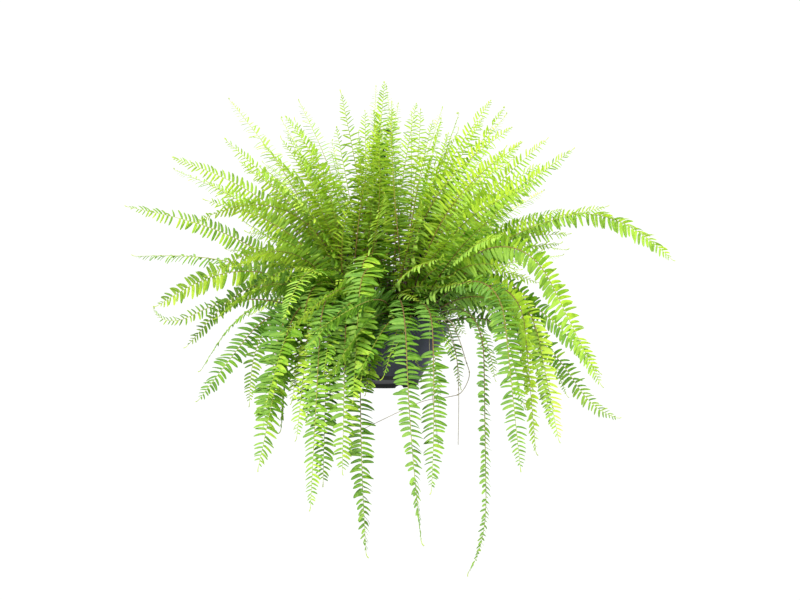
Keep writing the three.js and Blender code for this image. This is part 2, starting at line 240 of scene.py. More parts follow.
# Polypropylene moulded in a dark blue-grey: a satin skin that handling has polished in patches.
pot_plastic = grainy_material(
    "moulded_blue_grey_polypropylene", ((0.3, "#252735"), (0.5, "#2d3040"), (0.7, "#383b4c")),
    3.0, (0.26, 0.4), 0.06, PLASTIC_IOR,
)
# The same plastic on the foot ring and the pot's underside, duller, and darkened nearly to black as painted
# shade for the shadow under the pot.
foot_plastic_painted_shade = grainy_material(
    "polypropylene_darkened_as_painted_shade", ((0.3, "#08080b"), (0.7, "#16161b")), 3.0, (0.45, 0.6), 0.1, PLASTIC_IOR
)
# Black polypropylene, smooth and faintly glossy from the mould.
hanger_plastic = grainy_material(
    "moulded_black_polypropylene", ((0.3, "#0b0c0d"), (0.7, "#1b1c1e")), 2.0, (0.3, 0.45), 0.03, PLASTIC_IOR
)
# Moist peat with bark: dark, matte and rough, in crumbs of a few millimetres.
peat = grainy_material(
    "moist_peat_and_bark", ((0.35, "#140d08"), (0.5, "#2c1d12"), (0.62, "#4c3522"), (0.75, "#6b4f35")),
    2.5, (0.75, 0.95), 1.2,
)
# The rhizome's dry papery scales: brown and matte, each about a millimetre.
scales = grainy_material(
    "papery_brown_scales", ((0.35, "#24160d"), (0.5, "#4a2f1a"), (0.7, "#7b5630")), 1.2, (0.7, 0.9), 0.6
)
# Bare wiry runners, which a coat of hair makes a dull grey-tan.
runner_skin = grainy_material(
    "hairy_tan_runner", ((0.35, "#6f664a"), (0.5, "#938a6c"), (0.7, "#b8b096")), 0.8, (0.6, 0.8), 0.2
)
# A sweep of matte white paper, with hardly any tooth.
paper = grainy_material("matte_white_paper", ((0.3, "#c2c3c4"), (0.7, "#cacbcb")), 4.0, (0.85, 0.95), 0.02)

# ---------------------------------------------------------------- shared tools for making pieces


def finish_mesh(name, bm, materials):
    mesh = bpy.data.meshes.new(name)
    bm.to_mesh(mesh)
    bm.free()
    for material in materials:
        mesh.materials.append(material)
    piece = bpy.data.objects.new(name, mesh)
    bpy.context.scene.collection.objects.link(piece)
    return piece


def cane(sides, steps):
    """A straight stick of unit radius and length along Z, in rings, to be laid along a route."""
    bm = bmesh.new()
    bmesh.ops.create_cone(bm, cap_ends=True, segments=sides, radius1=1, radius2=1, depth=1)
    long_edges = [e for e in bm.edges if abs(e.verts[0].co.z - e.verts[1].co.z) > 0.5]
    bmesh.ops.subdivide_edges(bm, edges=long_edges, cuts=steps - 1, use_grid_fill=True)
    for face in bm.faces:
        face.smooth = len(face.verts) == 4
    mesh = bpy.data.meshes.new("cane")
    bm.to_mesh(mesh)
    bm.free()
    return mesh


def lay_cane(bm, stick, route, radius):
    """Adds a stick to bm along a route of (share, point, along, across), and returns its vertices' shares."""
    first = len(bm.verts)
    bm.from_mesh(stick)
    bm.verts.ensure_lookup_table()
    shares = []
    for vert in bm.verts[first:]:
        share, point, along, across = route[round((vert.co.z + 0.5) * (len(route) - 1))]
        size = radius(share)
        vert.co = point + (across * vert.co.x + along.cross(across) * vert.co.y) * size
        shares.append(share)
    return shares


def smooth_step(x):
    x = min(1.0, max(0.0, x))
    return x * x * (3 - 2 * x)


def on_circle(radius, azimuth):
    return Vector((radius * math.cos(math.radians(azimuth)), radius * math.sin(math.radians(azimuth)), 0))


# ---------------------------------------------------------------- the pot, in millimetres as the CAD has it

HANG, POT_HEIGHT, RIM_RADIUS = 417, 115, 132
FLANGE_WIDTH, FLANGE_THICK, WALL_TOP = 7, 3, 13
FOOT_RADIUS, FOOT_HEIGHT, FOOT_RING, WALL, FLOOR = 69, 8, 2.5, 2, 2.5
NOTCHES, NOTCH_AZIMUTH, NOTCH_WIDTH, NOTCH_HEIGHT = 6, 63, 19, 5.5
DRAIN_HOLES, DRAIN_RADIUS, DRAIN_CIRCLE = 6, 4, 44
LEG_AZIMUTHS, LEG_RADIUS, LEG_HOLE_RADIUS, LEG_CIRCLE = (90, 210, 330), 1.4, 1.9, 129.2
HUB_TOP, HUB_HEIGHT, HUB_RADIUS = -64, 13, 7.5
HOOK_INNER, HOOK_WIRE = 12, 2.7
SOIL_DROP, SOIL_DOME, GAP = 17, 3, 0.35
CROWN_RADIUS, CROWN_HEIGHT = 44, 22
FOOT_LEVEL, SOIL_LEVEL = -HANG - POT_HEIGHT, -HANG - SOIL_DROP
CROWNS = {"right": (40, -8), "left": (-50, 6)}
POT_SIDES, DRILL_DEPTH = 128, 12
SAME_PLACE = 1e-6


def cut(piece, cutter):
    """Takes the cutter's shape out of the piece for good."""
    change = piece.modifiers.new("cut", "BOOLEAN")
    change.object, change.operation, change.solver = cutter, "DIFFERENCE", "EXACT"
    ready = piece.evaluated_get(bpy.context.evaluated_depsgraph_get())
    mesh = bpy.data.meshes.new_from_object(ready)
    piece.modifiers.clear()
    piece.data = mesh
    bpy.data.objects.remove(cutter)


def crease(piece, angle=35):
    """Smooth shading, but for the edges sharper than the angle."""
    bm = bmesh.new()
    bm.from_mesh(piece.data)
    for face in bm.faces:
        face.smooth = True
    for edge in bm.edges:
        edge.smooth = edge.calc_face_angle(0) < math.radians(angle)
    bm.to_mesh(piece.data)
    bm.free()


def make_pot():
    """The moulded pot: a flared bowl with a flange round its rim and an arched foot ring."""
    top_radius = RIM_RADIUS - FLANGE_WIDTH
    band = POT_HEIGHT - WALL_TOP
    under_flange = POT_HEIGHT - FLANGE_THICK
    inside_floor = FOOT_HEIGHT + FLOOR
    profile = (
        (0, FOOT_HEIGHT), (FOOT_RADIUS - FOOT_RING, FOOT_HEIGHT), (FOOT_RADIUS - FOOT_RING, 0),
        (FOOT_RADIUS, 0), (FOOT_RADIUS + 1, FOOT_HEIGHT), (top_radius, band),
        (top_radius + 1.5, under_flange), (RIM_RADIUS, under_flange), (RIM_RADIUS, POT_HEIGHT),
        (top_radius - 0.5, POT_HEIGHT),
        (top_radius - WALL, band), (FOOT_RADIUS + 1 - WALL, inside_floor), (0, inside_floor),
    )
    bm = bmesh.new()
    line = [bm.verts.new((r * MM, 0, (z + FOOT_LEVEL) * MM)) for r, z in profile]
    edges = [bm.edges.new(pair) for pair in zip(line, line[1:])]
    round_z = dict(axis=(0, 0, 1), cent=(0, 0, 0), angle=2 * math.pi)
    bmesh.ops.spin(bm, geom=line + edges, steps=POT_SIDES, use_merge=True, **round_z)
    bmesh.ops.remove_doubles(bm, verts=bm.verts, dist=SAME_PLACE)
    bmesh.ops.recalc_face_normals(bm, faces=bm.faces)
    lip = []
    for edge in bm.edges:
        start, end = (vert.co for vert in edge.verts)
        level = abs(start.z - end.z) < SAME_PLACE
        ring = abs(start.to_2d().length - end.to_2d().length) < SAME_PLACE
        if level and ring and edge.calc_face_angle(0) > math.radians(40):
            lip.append(edge)
    bmesh.ops.bevel(bm, geom=lip, offset=0.6 * MM, affect="EDGES", segments=2, profile=0.5, material=-1)
    pot = finish_mesh("moulded_pot", bm, [pot_plastic])

    bm = bmesh.new()

    def drill(place, radius, segments):
        sizes = dict(radius1=radius * MM, radius2=radius * MM, depth=DRILL_DEPTH * MM)
        bmesh.ops.create_cone(bm, cap_ends=True, segments=segments, matrix=place, **sizes)

    for k in range(DRAIN_HOLES):
        place = on_circle(DRAIN_CIRCLE, 360 * k / DRAIN_HOLES) + Vector((0, 0, FOOT_LEVEL + FOOT_HEIGHT))
        drill(Matrix.Translation(place * MM), DRAIN_RADIUS, 24)
    for azimuth in LEG_AZIMUTHS:
        place = on_circle(LEG_CIRCLE, azimuth) + Vector((0, 0, FOOT_LEVEL + POT_HEIGHT))
        drill(Matrix.Translation(place * MM), LEG_HOLE_RADIUS, 16)
    for k in range(NOTCHES):
        turn = Matrix.Rotation(math.radians(NOTCH_AZIMUTH + 360 * k / NOTCHES), 4, "Z")
        low = Matrix.Diagonal((1, 1, 2 * NOTCH_HEIGHT / NOTCH_WIDTH, 1))
        arch = turn @ Matrix.Translation((FOOT_RADIUS * MM, 0, FOOT_LEVEL * MM)) @ low
        lying = Matrix.Rotation(math.pi / 2, 4, "Y")
        drill(arch @ lying, NOTCH_WIDTH / 2, 32)
    cutter = finish_mesh("cutter", bm, [])
    cut(pot, cutter)
    crease(pot, 24)
    # Faces at and below the foot ring's top take the near-black foot plastic: painted shade under the pot.
    pot.data.materials.append(foot_plastic_painted_shade)
    for face in pot.data.polygons:
        face.material_index = 1 if face.center.z < (FOOT_LEVEL + FOOT_HEIGHT) * MM + 1e-5 else 0
    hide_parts("pot")
    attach(pot, "root")


def bend_through(points, steps):
    """A smooth route through the points, in millimetres, as (share, point, along, across) in metres."""
    knots = [Vector(p) for p in points]
    knots = [2 * knots[0] - knots[1]] + knots + [2 * knots[-1] - knots[-2]]
    spans = len(knots) - 3
    places = []
    for k in range(steps + 1):
        share = k / steps * spans
        span = min(int(share), spans - 1)
        a, b, c, d = knots[span : span + 4]
        u = share - span
        curve = (2 * b) + (c - a) * u + (2 * a - 5 * b + 4 * c - d) * u**2 + (3 * b - a - 3 * c + d) * u**3
        places.append(0.5 * curve * MM)
    route = []
    across = None
    for k, place in enumerate(places):
        along = (places[min(k + 1, steps)] - places[max(k - 1, 0)]).normalized()
        if across is None:
            across = along.cross(Vector((0, 0, 1)) if abs(along.z) < 0.9 else Vector((0, 1, 0)))
        across = (across - along * across.dot(along)).normalized()
        route.append((k / steps, place, along, across))
    return route


ROD_STEPS = 72
rod = cane(12, ROD_STEPS)


def hook_size(share):
    """The hook's radius along its wire: it starts as a blunt tip and fills out at once."""
    return HOOK_WIRE * MM * (0.55 + 0.45 * smooth_step(share * 18))


def make_hanger():
    """The hanger: a rod bent into a hook, a hub with rounded rims, and three legs clipped to the flange."""
    middle = HOOK_INNER + HOOK_WIRE
    centre = -HOOK_INNER
    route = []
    for k in range(11):
        turn = math.radians(-35 + 21.5 * k)
        route.append((middle * math.cos(turn), 0, centre + middle * math.sin(turn)))
    route += [
        (-middle + 1.5, 0, centre - 12), (-middle + 9, 0, centre - 26), (0, 0, centre - 38),
        (0, 0, HUB_TOP + 1), (0, 0, HUB_TOP - 4),
    ]
    bm = bmesh.new()
    lay_cane(bm, rod, bend_through(route, ROD_STEPS), hook_size)
    hub = Matrix.Translation((0, 0, (HUB_TOP - HUB_HEIGHT / 2) * MM))
    made = bmesh.ops.create_cone(
        bm, cap_ends=True, segments=32, radius1=HUB_RADIUS * MM, radius2=0.85 * HUB_RADIUS * MM,
        depth=HUB_HEIGHT * MM, matrix=hub,
    )
    rims = [e for e in {e for v in made["verts"] for e in v.link_edges} if e.calc_face_angle(0) > 1]
    bmesh.ops.bevel(bm, geom=rims, offset=1.2 * MM, affect="EDGES", segments=3, profile=0.5, material=-1)
    hook = finish_mesh("hook_and_hub", bm, [hanger_plastic])
    crease(hook)
    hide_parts("hanger_hook")
    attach(hook, "root")
    for number, azimuth in enumerate(LEG_AZIMUTHS, 1):
        stops = (
            (4.5, HUB_TOP - HUB_HEIGHT - GAP), (5.5, HUB_TOP - HUB_HEIGHT - 12),
            (0.15 * LEG_CIRCLE, HUB_TOP - 80), (0.62 * LEG_CIRCLE, -HANG + 150), (LEG_CIRCLE - 3, -HANG + 34),
            (LEG_CIRCLE, -HANG + 16), (LEG_CIRCLE, -HANG + 4), (LEG_CIRCLE, -HANG - 7),
        )
        points = [on_circle(radius, azimuth) + Vector((0, 0, z)) for radius, z in stops]
        bm = bmesh.new()
        lay_cane(bm, rod, bend_through(points, ROD_STEPS), lambda share: LEG_RADIUS * MM)
        knob = Matrix.Translation((on_circle(LEG_CIRCLE, azimuth) + Vector((0, 0, -HANG - 5.1))) * MM)
        bmesh.ops.create_cone(
            bm, cap_ends=True, segments=16, radius1=LEG_RADIUS * MM, radius2=(LEG_HOLE_RADIUS + 0.6) * MM,
            depth=3 * MM, matrix=knob,
        )
        leg = finish_mesh(f"hanger_rod_{number}", bm, [hanger_plastic])
        crease(leg)
        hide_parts(f"hanger_leg_{number}")
        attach(leg, "root")


# ---------------------------------------------------------------- the fronds


def frond_on(crown, azimuth, rise, end, length, width, **habit):
    """One frond, in degrees and millimetres. azimuth: the way it leans, from +X towards +Y. rise and end: its
    slope as it leaves the crown and near its tip. What its habit may hold:
    root and out: where on the crown it starts.
    knee: the share of its length where it is half turned over. bend: the share that the turn takes.
    sway: how far the azimuth has turned at the tip. lift: how much the last quarter turns up again.
    roll: the blade's turn about its midrib. taper: how bluntly it ends. sag: how far its leaflets hang.
    bare: the share that has no leaflets. tone: from 0, deep green, to 1, yellowish."""
    return dict(crown=crown, azimuth=azimuth, rise=rise, end=end, length=length, width=width, **habit)


def left(*shape, **habit):
    return frond_on("left", *shape, **habit)


def right(*shape, **habit):
    return frond_on("right", *shape, **habit)


# Main fronds, in the order of the CAD nodes that they stand for.
FRONDS = [
    # upright in the middle
    left(200, 87, 50, 460, 60, root=262, out=10, roll=40),
    left(150, 88, 62, 530, 58, root=150, out=24, roll=-50),
    left(80, 88, 78, 550, 56, root=40, out=24),
    right(115, 88, 76, 550, 58, root=100, out=30, roll=-30),
    right(88, 86, 72, 510, 56, root=65, out=34),
    right(30, 88, 70, 480, 54, root=70, out=10, roll=50),
    right(300, 86, 68, 450, 54, root=225, out=36, roll=-40),
    left(250, 86, 56, 470, 54, root=300, out=36, roll=30),
    right(350, 85, 54, 500, 56, root=350, out=14, roll=-60),
    # fanned out to the right
    right(18, 78, 52, 530, 58, root=40, out=20, roll=40),
    right(318, 78, 20, 480, 56, root=240, out=26, roll=-55),
    right(4, 68, 42, 490, 58, out=24, roll=-65),
    right(352, 60, 36, 480, 56, out=28, roll=-65),
    right(34, 58, 32, 500, 58, out=34, roll=46),
    right(305, 62, 12, 470, 60, root=270, out=26, roll=-46),
    right(0, 43, -46, 630, 62, knee=0.66, bend=0.7, roll=-30, taper=9, sag=0.7),
    right(340, 54, -66, 590, 62, knee=0.4, bend=0.5, root=335, out=34, roll=-62, taper=5, sag=0, tone=0.7),
    right(24, 44, 10, 400, 58, roll=34),
    # fanned out to the left
    left(172, 70, 52, 570, 56, roll=-65),
    left(184, 65, 20, 530, 56, root=165, out=18, roll=57),
    left(158, 56, 26, 590, 56, roll=-46),
    left(180, 45, 12, 530, 54, roll=57, taper=3.5, sag=0.3),
    left(166, 38, 2, 520, 60, roll=-34, taper=3.5, sag=0.2),
    left(200, 40, -36, 425, 72, roll=57, taper=4),
    left(180, 27, -36, 420, 46, lift=120, roll=46),
    left(206, 73, -32, 470, 60, knee=0.55, root=232, out=20, roll=30),
    left(138, 72, 36, 510, 58, roll=-46),
    # hanging at the right and in front
    right(2, 18, -58, 470, 60, knee=0.38, bend=0.8, lift=45, roll=-46, taper=3.5),
    right(308, 16, -90, 660, 52, knee=0.24, bend=0.36, lift=-50, root=305, out=42, roll=-20),
    right(348, 34, -82, 500, 46, knee=0.4, bend=0.4, root=340, out=34, taper=6, roll=-55),
    right(318, 30, -84, 570, 54, knee=0.35, bend=0.4, root=285, out=40, taper=5, roll=50),
    right(292, 24, -84, 490, 54, knee=0.26, bend=0.4, sway=-60, root=266, out=41, taper=5),
    right(272, 26, -84, 605, 56, knee=0.24, bend=0.4, sway=90, root=249, out=42, taper=7),
    left(266, 18, -86, 570, 56, knee=0.2, bend=0.34, sway=80, root=290, out=40, taper=8),
    left(252, 28, -84, 580, 56, knee=0.28, bend=0.4, root=270, out=38, taper=4),
    left(236, 28, -74, 495, 70, knee=0.28, bend=0.5, root=240, out=36, taper=4, roll=-55),
    left(206, 22, -54, 380, 64, knee=0.34, bend=0.6, roll=-48, taper=4),
    right(252, 54, -82, 450, 80, knee=0.36, bend=0.5, root=225, out=40, taper=5, sag=0, tone=0.55),
    # behind
    right(56, 66, 10, 480, 58, root=30, out=32, roll=-40),
    right(40, 34, -60, 540, 58, out=42),
    right(78, 40, -70, 560, 58, root=95, out=40),
    left(102, 64, 10, 500, 58, roll=40),
    left(112, 40, -60, 560, 58),
    left(145, 34, -50, 480, 58, roll=-40),
]

# Fronds in the plant's body that have no CAD node of their own, by the place that they fill.
INNER_FRONDS = {
    "left_flank": [
        left(244, 34, -80, 430, 60, knee=0.3, bend=0.5, taper=4),
        left(212, 58, -36, 380, 66, roll=46),
        left(206, 46, -52, 400, 70, knee=0.42, sway=-16, roll=40),
        left(240, 44, -78, 400, 66, knee=0.34, bend=0.5, taper=5),
        left(218, 36, -44, 340, 68, roll=23),
    ],
    "left_top": [
        left(185, 68, 42, 475, 54, roll=46),
        left(190, 82, 58, 385, 50, roll=30),
        left(176, 60, 30, 430, 56, roll=65, sway=10),
        left(196, 72, 34, 410, 58, roll=65),
        left(160, 76, 50, 430, 54, roll=-35),
        left(222, 78, 44, 400, 56, roll=20, out=14),
        left(206, 62, 8, 400, 60, roll=57),
        left(240, 80, 50, 380, 54, roll=25, out=30),
        left(170, 80, 62, 480, 54, roll=-30, out=20),
        left(214, 84, 60, 430, 54, roll=35, out=26),
    ],
    "right_flank": [
        right(346, 36, -52, 430, 64, knee=0.4, roll=-57),
        right(328, 40, -76, 430, 60, knee=0.36, bend=0.5, taper=5, roll=50),
        right(2, 56, 20, 400, 56, roll=-57),
        right(356, 24, -70, 360, 56, knee=0.4, out=38),
        right(345, 40, -78, 400, 54, knee=0.42, bend=0.5, roll=-15, taper=5),
        right(322, 28, -60, 330, 60, roll=-34),
        right(330, 34, -86, 530, 58, root=330, out=40, knee=0.36, bend=0.45, taper=7, tone=0.8, roll=-55),
        right(338, 30, -80, 500, 56, root=338, out=40, knee=0.38, bend=0.5, taper=6, tone=0.85, roll=50),
    ],
    "right_top": [
        right(352, 70, 30, 430, 56, roll=-65),
        right(10, 88, 76, 445, 52, roll=-40, out=20),
        right(20, 86, 68, 395, 52, roll=-30, out=24),
        right(355, 76, 56, 495, 54, roll=-40),
        right(5, 70, 48, 458, 54, roll=-65),
        right(355, 50, 12, 465, 56, roll=-57),
        right(344, 64, 26, 430, 58, roll=-65, sway=-12),
        right(14, 62, 36, 430, 58, roll=-34),
        right(330, 76, 40, 400, 56, roll=-40, out=24),
        right(0, 58, 2, 390, 58, roll=-57),
        right(320, 70, 10, 380, 60, roll=-65, out=28),
        right(340, 82, 58, 450, 54, roll=-45, out=22),
    ],
    "centre": [
        left(10, 87, 80, 480, 60, roll=70, root=330, out=30),
        right(150, 88, 84, 445, 58, roll=-60, root=200, out=26),
        left(290, 88, 72, 400, 58, roll=20, root=320, out=32),
        right(240, 88, 72, 400, 58, roll=-10, root=215, out=32),
        right(265, 84, 58, 380, 58, root=240, out=30),
        left(270, 86, 62, 430, 58, roll=10, root=300, out=26),
        right(290, 82, 50, 410, 58, roll=-20, root=270, out=24),
        left(320, 80, 50, 330, 56, roll=30, root=330, out=32),
        right(200, 82, 52, 330, 56, roll=-30, root=200, out=32),
        left(296, 89, 78, 505, 66, root=330, out=30, bare=0.1, tone=0.5),
        left(300, 88, 74, 450, 60, root=350, out=34, bare=0.1, tone=0.4),
        right(235, 88, 76, 440, 60, root=215, out=34, bare=0.1, tone=0.4),
        right(250, 88, 66, 380, 60, root=190, out=30, bare=0.1),
        right(100, 50, -20, 260, 62, root=120, out=36, bare=0.06, roll=40),
        left(60, 50, -20, 260, 62, root=45, out=36, bare=0.06, roll=-40),
        right(130, 60, 0, 280, 62, root=150, out=36, bare=0.06, roll=40),
        left(35, 62, 10, 260, 62, root=20, out=36, bare=0.06, roll=-40),
        right(160, 44, -10, 220, 60, root=160, out=38, bare=0.06, roll=40),
        left(10, 40, -20, 220, 60, root=0, out=38, bare=0.06, roll=-40),
        left(310, 56, 0, 240, 60, root=320, out=38, bare=0.06, roll=40),
        right(210, 52, 0, 240, 60, root=210, out=38, bare=0.06, roll=-40),
    ],
    "front": [
        right(
            240, 82, -84, 445, 78, knee=0.36, bend=0.42, root=225, out=38,
            taper=5, sag=0, tone=0.6, bare=0.16,
        ),
        right(262, 26, -34, 330, 64, root=250, out=42, knee=0.4, sway=-85, roll=40),
        right(250, 34, -50, 330, 66, root=240, out=42, knee=0.4, sway=-60, roll=-40),
        right(244, 44, -44, 340, 64, root=235, out=40, knee=0.4, sway=-60, roll=40),
        right(236, 20, -62, 290, 64, root=230, out=42, knee=0.4, sway=-40),
        right(274, 20, -70, 250, 60, root=262, out=42, knee=0.4, sway=-70),
        right(222, 40, -60, 330, 64, root=222, out=42, knee=0.4, sway=-20),
        right(256, 10, -80, 230, 58, root=250, out=43, knee=0.45, sway=-30),
        right(292, 30, -60, 230, 58, root=280, out=42, knee=0.4, sway=20),
        left(290, 26, -60, 260, 62, root=290, out=42, knee=0.4, sway=40),
        left(276, 26, -70, 280, 64, root=280, out=42, knee=0.4, sway=-20),
        left(258, 30, -66, 300, 64, root=260, out=42, knee=0.4),
        left(246, 48, -60, 350, 68, root=250, out=38),
        left(236, 30, -70, 350, 68, root=240, out=40, knee=0.36, taper=4),
        left(228, 56, -30, 360, 66, root=235, out=34, roll=34),
        right(196, 58, -30, 330, 64, root=205, out=34, roll=65, sag=0.5),
        right(186, 48, -20, 320, 64, root=200, out=38, roll=65, sag=0.5),
        left(280, 68, 16, 320, 58, root=300, out=30, roll=40),
        left(232, 70, 20, 380, 60, root=240, out=24, roll=-40),
        right(318, 50, -20, 300, 60, root=300, out=32, roll=-40),
        left(266, 22, -84, 470, 62, root=262, out=40, knee=0.3, bend=0.45, taper=6, roll=-30),
        left(256, 26, -84, 500, 60, root=256, out=40, knee=0.28, bend=0.4, taper=6, sway=14),
        left(232, 34, -86, 420, 70, root=235, out=40, knee=0.34, bend=0.45, taper=8, roll=50),
        left(222, 24, -80, 370, 68, root=225, out=40, knee=0.34, bend=0.5, taper=8, roll=-55),
        left(243, 20, -84, 330, 68, root=245, out=40, knee=0.34, bend=0.5, taper=8),
        left(262, 14, -70, 270, 66, root=262, out=42, knee=0.4, sway=-40, taper=5),
        left(280, 12, -76, 260, 66, root=280, out=42, knee=0.4, sway=-30, taper=5),
        right(258, 16, -56, 310, 68, root=255, out=42, knee=0.42, sway=-75, taper=5, roll=40),
        right(248, 14, -66, 290, 68, root=245, out=42, knee=0.42, sway=-55, taper=5),
        right(266, 12, -62, 280, 66, root=265, out=42, knee=0.44, sway=-80, taper=5),
        right(238, 10, -74, 270, 66, root=240, out=42, knee=0.42, sway=-40, taper=5),
        right(278, 16, -50, 240, 62, root=275, out=42, knee=0.42, sway=-60, taper=4, roll=-40),
    ],
}
# More in each part of the body, placed by chance: how many, their crown's side, and the ranges of their
# azimuth, rise, drop from rise to end, and length.
SCATTERED_FRONDS = {
    "upright_left": (26, "left", (60, 300), (74, 88), (12, 44), (260, 440)),
    "upright_right": (26, "right", (-120, 120), (74, 88), (12, 44), (260, 440)),
    "middle_left": (20, "left", (110, 250), (42, 72), (30, 76), (250, 400)),
    "middle_right": (20, "right", (-70, 70), (42, 72), (30, 76), (250, 400)),
    "back_left": (10, "left", (80, 160), (24, 60), (60, 120), (320, 440)),
    "back_right": (10, "right", (20, 100), (24, 60), (60, 120), (320, 440)),
    "low_left": (16, "left", (150, 330), (30, 80), (30, 90), (120, 250)),
    "low_right": (16, "right", (-60, 60), (30, 80), (30, 90), (120, 250)),
}

# The share of a frond that is bare stalk, and how much more an upright frond has.
STALK_SHARE, UPRIGHT_RISE, UPRIGHT_BARE = 0.1, 60, 2.2
STATIONS = 40
STALK_RADIUS = 1.5
# A frond's tone if it has none of its own: low fronds are deep green, upright ones paler and yellower. This
# is partly young growth and partly painted light for the glow of the top fronds, with painted shade on the
# low ones.
LOW_TONE, YOUNG_AND_PAINTED_LIGHT_TONE_GAIN, TONE_CHANCE = 0.28, 0.46, 0.15
# Leaflet pairs stand this far apart along the midrib, closer where the blade is narrow.
LEAFLET_PITCH, LEAST_PITCH_SHARE = 8.8, 0.45
LAST_PAIR = 0.992
MISSING_SHARE = 0.03
# Degrees that leaflets lean towards the frond's tip, at its foot and more at its tip; less where it hangs.
LEAN, TIP_LEAN, LEAN_CHANCE = 4, 38, 11
HANGING_LEAN, HANGING_TIP_LEAN = 6, 10
# How far leaflets sag, and how strongly their faces turn to the sky on rising and on hanging midribs.
SAG, SAG_CHANCE = 0.08, 0.26
SKYWARD, RISING_GAIN, HANGING_LOSS, SKYWARD_CHANCE = 0.8, 2.4, 0.3, 0.6
# Millimetres, and the ranges that chance gives a leaflet's length and breadth.
SHORTEST_LEAFLET, BROAD_FROM = 1.4, 10
LENGTH_CHANCE, BREADTH_CHANCE = (0.82, 1.1), (0.88, 1.15)
CROZIER_STEPS, CROZIER_LENGTH = 12, 11
COILED, OPENED, COILED_SHARE = (380, 560), 60, 0.6
leaf_stick = cane(5, STATIONS)
crozier_stick = cane(4, CROZIER_STEPS)


def crown_top(r):
    return SOIL_LEVEL + SOIL_DOME + GAP + CROWN_HEIGHT * (1 - (r / CROWN_RADIUS) ** 2)


def midrib(frond):
    """The frond's midrib as (share, point, along, across), as the CAD draws it."""
    azimuth, rise, end = frond["azimuth"], frond["rise"], frond["end"]
    knee, bend = frond.get("knee", 0.5), frond.get("bend", 0.9)
    out = frond.get("out", 6 + 0.42 * (90 - rise))
    x, y = CROWNS[frond["crown"]]
    point = Vector((x, y, crown_top(out) + 2)) + on_circle(out, frond.get("root", azimuth))
    line = []
    for k in range(STATIONS + 1):
        t = k / STATIONS
        turn = smooth_step((t - knee) / bend + 0.5)
        tip = frond.get("lift", 0) * max(0.0, (t - 0.75) / 0.25) ** 1.5
        slope = math.radians(rise + (end - rise) * turn + tip)
        way = math.radians(azimuth + frond.get("sway", 0) * t * t)
        along = Vector((math.cos(slope) * math.cos(way), math.cos(slope) * math.sin(way), math.sin(slope)))
        across = Vector((-math.sin(way), math.cos(way), 0))
        across = Matrix.Rotation(math.radians(frond.get("roll", 0) * smooth_step(t / 0.4)), 3, along) @ across
        line.append((t, point * MM, along, across))
        point = point + along * (frond["length"] / STATIONS)
    return line


def fullness(frond, t):
    """How wide the blade is at a share of the frond's length, as a share of its widest."""
    upright = frond["rise"] >= UPRIGHT_RISE
    bare = frond.get("bare", UPRIGHT_BARE * STALK_SHARE if upright else STALK_SHARE)
    if t < bare:
        return 0.0
    s = (t - bare) / (1 - bare)
    return smooth_step(0.42 + 2.4 * s) * math.sqrt(max(0.0, 1 - s ** frond.get("taper", 2.6)))


# A leaflet's outline: the share of its length, and how full it is ahead, towards the frond's tip, and behind.
LEAFLET_OUTLINE = (
    (0, 0, 0), (0.05, 1.1, 0.5), (0.2, 1, 0.92), (0.5, 0.95, 0.97),
    (0.78, 0.76, 0.8), (0.93, 0.46, 0.5), (1, 0, 0),
)
LEAFLET_HALF_WIDTH = 0.118
LEAFLET_THICKNESS, FURROW = 0.12, 0.3
SICKLE = 0.12


def leaflet(hand, droop, twist):
    """One leaflet of unit length: a thin sickle-shaped blade with a sharp margin and a furrow along it."""
    bm = bmesh.new()
    bmesh.ops.create_uvsphere(bm, u_segments=4, v_segments=len(LEAFLET_OUTLINE) - 1, radius=1)
    levels = sorted({round(vert.co.z, 4) for vert in bm.verts})
    uv = bm.loops.layers.uv.new("leaflet")
    below = bm.faces.layers.float.new("underside")
    sides = {}
    for vert in bm.verts:
        place, ahead, behind = LEAFLET_OUTLINE[levels.index(round(vert.co.z, 4))]
        on_margin = abs(vert.co.x) > abs(vert.co.y) + 1e-4
        sides[vert] = (1 if vert.co.x > 0 else -1) if on_margin else 0
        full = ahead if sides[vert] > 0 else behind
        y = sides[vert] * full * LEAFLET_HALF_WIDTH
        skin = LEAFLET_THICKNESS * (1 if vert.co.y > 0 else -1) - FURROW
        furrow = 0 if on_margin else skin * full * LEAFLET_HALF_WIDTH
        turn = twist * place
        across = y * math.cos(turn) - furrow * math.sin(turn) + SICKLE * place**2
        vert.co = (place, hand * across, y * math.sin(turn) + furrow * math.cos(turn))
    bmesh.ops.recalc_face_normals(bm, faces=bm.faces)
    for face in bm.faces:
        face.smooth = True
        face[below] = 1.0 if face.normal.z < 0 else 0.0
        for loop in face.loops:
            loop[uv].uv = (loop.vert.co.x, 0.5 + 0.5 * sides[loop.vert])
    for edge in bm.edges:
        edge.smooth = edge.link_faces[0][below] == edge.link_faces[1][below]
    for vert in bm.verts:
        vert.co.z += 0.12 * vert.co.x - droop * vert.co.x**2
    mesh = bpy.data.meshes.new("leaflet")
    bm.to_mesh(mesh)
    bm.free()
    return mesh


# Leaflets that droop and twist differently, for the frond's two sides.
LEAFLET_DROOPS = ((0.2, 0.0), (0.34, 0.25), (0.5, -0.2), (0.28, -0.45), (0.12, 0.4))
LEAFLETS = {hand: [leaflet(hand, droop, twist) for droop, twist in LEAFLET_DROOPS] for hand in (1, -1)}


